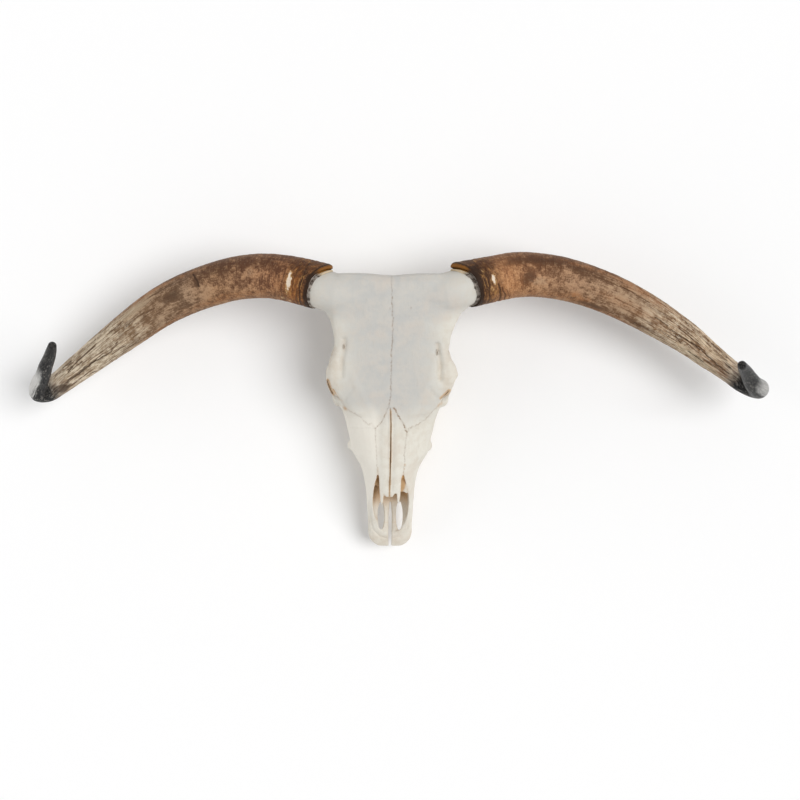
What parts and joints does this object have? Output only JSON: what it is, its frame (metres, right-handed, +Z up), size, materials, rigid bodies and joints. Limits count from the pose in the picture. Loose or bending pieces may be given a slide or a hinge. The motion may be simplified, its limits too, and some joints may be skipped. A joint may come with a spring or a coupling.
{
  "type": "longhorn steer skull",
  "caption": "Weathered longhorn steer skull with a broad forehead, open nose and cheek teeth, and long horn sheaths that sweep out and curl up at the tips.",
  "frame": {"origin": "on the floor under the middle of the whole skull and horns", "axes": "+Z up from the floor through the upturned forehead, +X to the right as one looks down on the face, across the spread of the horns, +Y from the nose towards the poll"},
  "size_m": [1.3783, 0.5515, 0.2413],
  "materials": {
    "bone": "dry bleached bone, fine grained and matt, a little grey on the forehead",
    "cream_bone": "dry cream bone, matt, tan at its thin edges and inside the nose",
    "horn": "weathered horn, mottled brown near the head, bleached and split lengthways further out, polished black tips"
  },
  "bodies": {
    "root": {"frontal_left": "bone", "frontal_right": "bone", "occiput": "bone", "braincase": "bone", "temporal_left": "bone", "temporal_right": "bone", "cheekbone_left": "cream_bone", "cheekbone_right": "cream_bone", "nasal_left": "cream_bone", "nasal_right": "cream_bone", "maxilla_left": "cream_bone", "maxilla_right": "cream_bone", "premaxilla_left": "cream_bone", "premaxilla_right": "cream_bone", "horn_left": "horn", "horn_right": "horn"}
  },
  "joints": []
}
